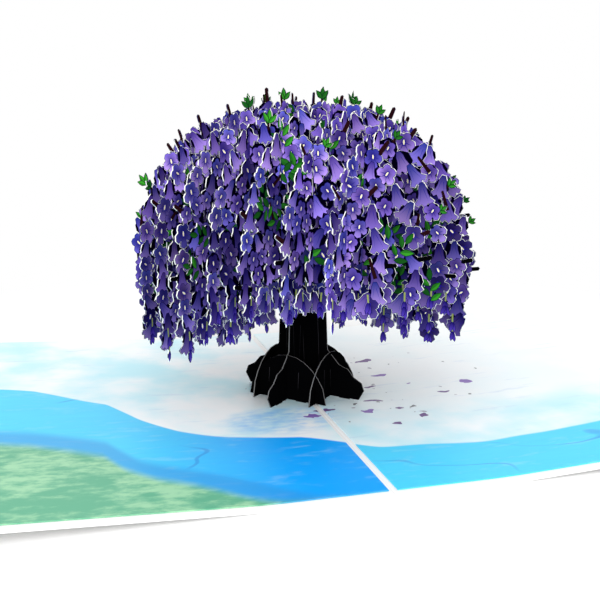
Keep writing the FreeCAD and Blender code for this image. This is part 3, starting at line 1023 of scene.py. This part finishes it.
def noise(tree, spot, scale, detail=3.0, stretch=(1.0, 1.0, 1.0), roughness=0.5):
    """Even noise from 0 to 1 whose lumps are about scale metres wide."""
    settings = {"vector_type": "POINT"}
    mapped = add_node(tree, "ShaderNodeMapping", settings, 0, i0=spot, i3=stretch)
    return add_node(
        tree, "ShaderNodeTexNoise", None, 0,
        Vector=mapped, Scale=1 / scale, Detail=detail, Roughness=roughness)


CARD_HALF_WIDTH = 127
CARD_HALF_LENGTH = 89.0


def level(along):
    """A place along the fold as a level from 0 at the near end to 1 at the far one."""
    return (along + CARD_HALF_LENGTH) * (1 / (2 * CARD_HALF_LENGTH))


WATER_EDGE = (
    (-127, 30), (-90, 16), (-67, -2), (-58, -19), (-47, -33), (-33, -38), (-13, -43), (-2, -50),
    (7, -57), (22, -58), (40, -63), (75, -60), (127, -48),
)
DEEP_EDGE = (
    (-127, -14), (-90, -28), (-69, -37), (-61, -54), (-46, -63),
    (-34, -70), (-22, -85), (-10, -95), (127, -95),
)
BANK_EDGE = (
    (-127, -22), (-90, -38), (-70, -48), (-65, -59), (-57, -66), (-43, -75), (-31, -87), (-20, -100),
    (127, -100),
)


def as_levels(points):
    return [(spot, level(along)) for spot, along in points]


def round_area(across, along, middle, halves):
    """The square of the distance from the middle of an oval area, 1 at its edge."""
    aside = across - middle[0]
    ahead = along - middle[1]
    return aside * aside * (1 / halves[0] ** 2) + ahead * ahead * (1 / halves[1] ** 2)


def flakes(tree, spot, spacing, stretch, turn, rag, sizes, colours, strewn):
    """Ragged flakes of random size strewn over an area, and the colour of each."""
    ragged = add_node(tree, "ShaderNodeTexNoise", None, 1, Vector=spot, Scale=1 / rag, Detail=2.0)
    bend = {"operation": "MULTIPLY_ADD"}
    bent = add_node(tree, "ShaderNodeVectorMath", bend, 0, i0=ragged, i1=(spacing * 0.9,) * 3, i2=spot)
    mapped = add_node(tree, "ShaderNodeMapping", None, 0, i0=bent, i2=(0.0, 0.0, turn), i3=stretch)
    cells = add_node(tree, "ShaderNodeTexVoronoi", None, 0, Vector=mapped, Scale=1 / spacing, Randomness=1.0)
    outputs = cells.socket.node.outputs
    chance = add_node(tree, "ShaderNodeSeparateColor", None, 0, i0=outputs["Color"])
    draws = chance.socket.node.outputs
    size = Wire(tree, draws[1]) * (sizes[1] - sizes[0]) + sizes[0]
    flake = (Wire(tree, outputs["Distance"]) < size) * (chance < strewn)
    return flake, Wire(tree, draws[2]).smooth(0.2, 0.8).mixed(*colours)


def liner_material(name, look):
    """Watercolour ground, water and bank in fields of colour."""
    material, tree, shader = paper_material(name, 0.42)
    spot, across, along = coordinates(tree)
    soft = noise(tree, spot, 0.022, 4.0)
    fine = noise(tree, spot, 0.006, 5.0, (1.0, 2.2, 1.0), 0.62)
    broad = noise(tree, spot, 0.06, 2.0)
    streak = noise(tree, spot, 0.012, 4.0, (0.6, 3.4, 1.0), 0.6)
    shifted = level(along) + (broad - 0.5) * 0.05

    def below(points, softness):
        edge = across.profile(-CARD_HALF_WIDTH, CARD_HALF_WIDTH, as_levels(points))
        return (edge - shifted).smooth(-softness, softness)

    bare = across.smooth(-25, 30) * along.smooth(-45, -20)
    washed = (soft * 0.6 + broad * 0.6).smooth(0.48, 0.78) * (1.0 - bare * 0.8)
    ground = washed.mixed(look.ground, look.wash)
    streaked = ((streak - 0.5) * 4.0).smooth(0.3, 1.0)
    ground = (streaked * 0.3).mixed(ground, look.streak)
    stain = round_area(across, along, (-14.0, -27.0), (20, 13))
    edge_shade_colour = (1.0 - stain.smooth(0.2, 1.3)) * (fine * 0.6 + soft * 0.6).smooth(0.4, 0.75)
    ground = (edge_shade_colour * 0.75).mixed(ground, look.stain)

    toward_fold = across.smooth(-75, -8)
    left_half = across < 1.2
    water = (toward_fold * left_half + streak * 0.35 - 0.1).mixed(look.water, look.deep_water)
    ripple = (streak * 0.65 + fine * 0.45).smooth(0.56, 0.72)
    water = (ripple * 0.16).mixed(water, look.ripple)
    deep = below(DEEP_EDGE, 0.02)
    water = (deep * 0.6).mixed(water, look.band)
    bank = (soft * 0.5 + fine * 0.5).smooth(0.42, 0.6).mixed(look.bank_dark, look.bank)

    colour = below(WATER_EDGE, 0.004).mixed(ground, water)
    colour = below(BANK_EDGE, 0.02).mixed(colour, bank)

    in_water = below(WATER_EDGE, 0.012)
    near_tree = round_area(across, along, (20.0, 2.0), (55, 50))
    strewn = (1.0 - near_tree.smooth(0.3, 1.0)) * (1.0 - in_water)
    greys = (look.flake_dark, look.flake)
    dash, dash_colour = flakes(
        tree, spot, 0.0042, (0.8, 1.0, 0.02), 0.5, 0.004, (0.05, 0.17), greys, strewn * 0.75)
    colour = (dash * 0.85).mixed(colour, dash_colour)
    mauves = (look.petal, look.petal_dark)
    petal, petal_colour = flakes(
        tree, spot, 0.012, (0.9, 1.5, 0.02), -0.4, 0.007, (0.1, 0.26), mauves, strewn * 0.6)
    colour = petal.mixed(colour, petal_colour)
    current = noise(tree, spot, 0.035, 1.0, (0.8, 1.6, 1.0)) - 0.5
    stroke = 1.0 - (current * current).smooth(0.0, 0.00012)
    stroke = stroke * broad.smooth(0.46, 0.54) * in_water * (1.0 - deep)
    colour = (stroke * 0.5).mixed(colour, look.stroke)
    tree.links.new(colour.socket, shader.inputs["Base Color"])
    return material


def give_material(node, material):
    """A CAD node keeps its shape and takes a finish."""
    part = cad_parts[node]
    if not part.material_slots:
        part.data.materials.append(material)
    for place in part.material_slots:
        place.material = material


class CoverSheet(bpy.types.Operator):
    """Give the folded cover its white card"""
    bl_idname = "popup_card.cover_sheet"
    bl_label = "White cover"

    def execute(self, context):
        white = context.scene.card_settings.card_white
        give_material("cover", plain_material("white_card_finish", white, 0.6))
        return {"FINISHED"}


class PrintedLiners(bpy.types.Operator):
    """Print the two panels pasted on the cover"""
    bl_idname = "popup_card.printed_liners"
    bl_label = "Printed panels"

    def execute(self, context):
        printed = liner_material("liner_watercolour", context.scene.card_settings)
        for node in ("liner_left", "liner_right"):
            give_material(node, printed)
        return {"FINISHED"}


# The stage

FADE = (0.15, 0.25)


def floor_material(colour):
    """Pale floor that keeps the shadow near the card and runs out to plain white."""
    material = bpy.data.materials.new("pale_floor")
    material.use_nodes = True
    tree = material.node_tree
    tree.nodes.clear()
    spot = add_node(tree, "ShaderNodeTexCoord", None, 3)
    reach = add_node(tree, "ShaderNodeVectorMath", {"operation": "LENGTH"}, 1, i0=spot)
    matt = add_node(tree, "ShaderNodeBsdfDiffuse", None, 0, i0=colour)
    glow = add_node(tree, "ShaderNodeEmission", None, 0, i0=(1.0, 1.0, 1.0), i1=1.0)
    faded = add_node(tree, "ShaderNodeMixShader", None, 0, i0=reach.smooth(*FADE), i1=matt, i2=glow)
    end = tree.nodes.new("ShaderNodeOutputMaterial")
    tree.links.new(faded.socket, end.inputs[0])
    return material


def soft_light(name, place, energy, size, target=(0.0, 0.0, 0.04)):
    """One large square lamp that faces the card."""
    bpy.ops.object.light_add(type="AREA", location=place)
    lamp = bpy.context.object
    lamp.name = name
    lamp.data.energy = energy
    lamp.data.size = size
    away = [a - b for a, b in zip(place, target)]
    level_reach = math.hypot(away[0], away[1])
    lamp.rotation_euler = (math.atan2(level_reach, away[2]), 0.0, math.atan2(away[0], -away[1]))
    return lamp


class CardStage(bpy.types.Operator):
    """Set the pale floor, the soft light and the camera"""
    bl_idname = "popup_card.card_stage"
    bl_label = "Stage"

    def execute(self, context):
        look = context.scene.stage_settings
        bpy.ops.object.select_all(action="DESELECT")
        bpy.ops.mesh.primitive_circle_add(
            vertices=64, radius=look.floor_reach, fill_type="NGON", location=(0, 0, 0))
        floor = context.object
        floor.name = "floor"
        floor.data.materials.append(floor_material(look.floor_white))

        world = bpy.data.worlds.new("soft_room")
        context.scene.world = world
        world.use_nodes = True
        tree = world.node_tree
        tree.nodes.clear()
        rays = tree.nodes.new("ShaderNodeLightPath")
        seen = add_node(
            tree, "ShaderNodeMath", {"operation": "MAXIMUM"}, 0,
            i0=rays.outputs["Is Camera Ray"], i1=rays.outputs["Is Glossy Ray"])
        room = add_node(tree, "ShaderNodeBackground", None, 0, i0=(1.0, 1.0, 1.0), i1=0.97)
        backdrop = add_node(tree, "ShaderNodeBackground", None, 0, i0=(1.0, 1.0, 1.0), i1=1.0)
        shown = add_node(tree, "ShaderNodeMixShader", None, 0, i0=seen, i1=room, i2=backdrop)
        end = tree.nodes.new("ShaderNodeOutputWorld")
        tree.links.new(shown.socket, end.inputs[0])

        soft_light("key_light", (-0.45, -0.75, 0.95), 3.2, 0.9)
        soft_light("fill_light", (0.85, -0.35, 0.6), 0.4, 0.9)
        soft_light("low_light", (-0.25, -0.9, 0.2), 4.6, 0.5, (0.0, 0.0, 0.02))

        bpy.ops.object.camera_add(location=look.camera_place)
        camera = context.object
        camera.name = "card_camera"
        camera.rotation_euler = (math.pi / 2 - look.camera_drop, 0.0, -look.camera_azimuth)
        camera.data.sensor_width = 36.0
        camera.data.lens = look.focal_pixels / IMAGE_SIDE * camera.data.sensor_width
        camera.data.clip_start = 0.01
        context.scene.camera = camera
        context.scene.view_settings.view_transform = "Standard"
        return {"FINISHED"}


STEPS = (TreeMaterials, CoverSheet, PrintedLiners, RootSheets, TrunkSheets, BlossomSheets, CardStage)


class PopUpCardPanel(bpy.types.Panel):
    """Lists the steps that dress the card"""
    bl_idname = "VIEW3D_PT_popup_card"
    bl_label = "Pop up card"
    bl_space_type = "VIEW_3D"
    bl_region_type = "UI"
    bl_category = "Pop up card"

    def draw(self, context):
        column = self.layout.column(align=True)
        for step in STEPS:
            column.operator(step.bl_idname)
        scene = context.scene
        for settings in (scene.card_settings, scene.tree_settings, scene.stage_settings):
            box = self.layout.box()
            for name in settings.__annotations__:
                box.prop(settings, name)


CLASSES = (TreeSettings, CardSettings, StageSettings) + STEPS + (PopUpCardPanel,)


def register():
    for item in CLASSES:
        bpy.utils.register_class(item)
    bpy.types.Scene.tree_settings = bpy.props.PointerProperty(type=TreeSettings)
    bpy.types.Scene.card_settings = bpy.props.PointerProperty(type=CardSettings)
    bpy.types.Scene.stage_settings = bpy.props.PointerProperty(type=StageSettings)


def unregister():
    del bpy.types.Scene.stage_settings
    del bpy.types.Scene.card_settings
    del bpy.types.Scene.tree_settings
    for item in reversed(CLASSES):
        bpy.utils.unregister_class(item)


def main():
    register()
    bpy.ops.popup_card.tree_papers()
    bpy.ops.popup_card.cover_sheet()
    bpy.ops.popup_card.printed_liners()
    bpy.ops.popup_card.root_sheets()
    bpy.ops.popup_card.trunk_sheets()
    bpy.ops.popup_card.blossom_sheets()
    bpy.ops.popup_card.card_stage()
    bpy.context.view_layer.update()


if __name__ == "__main__":
    main()
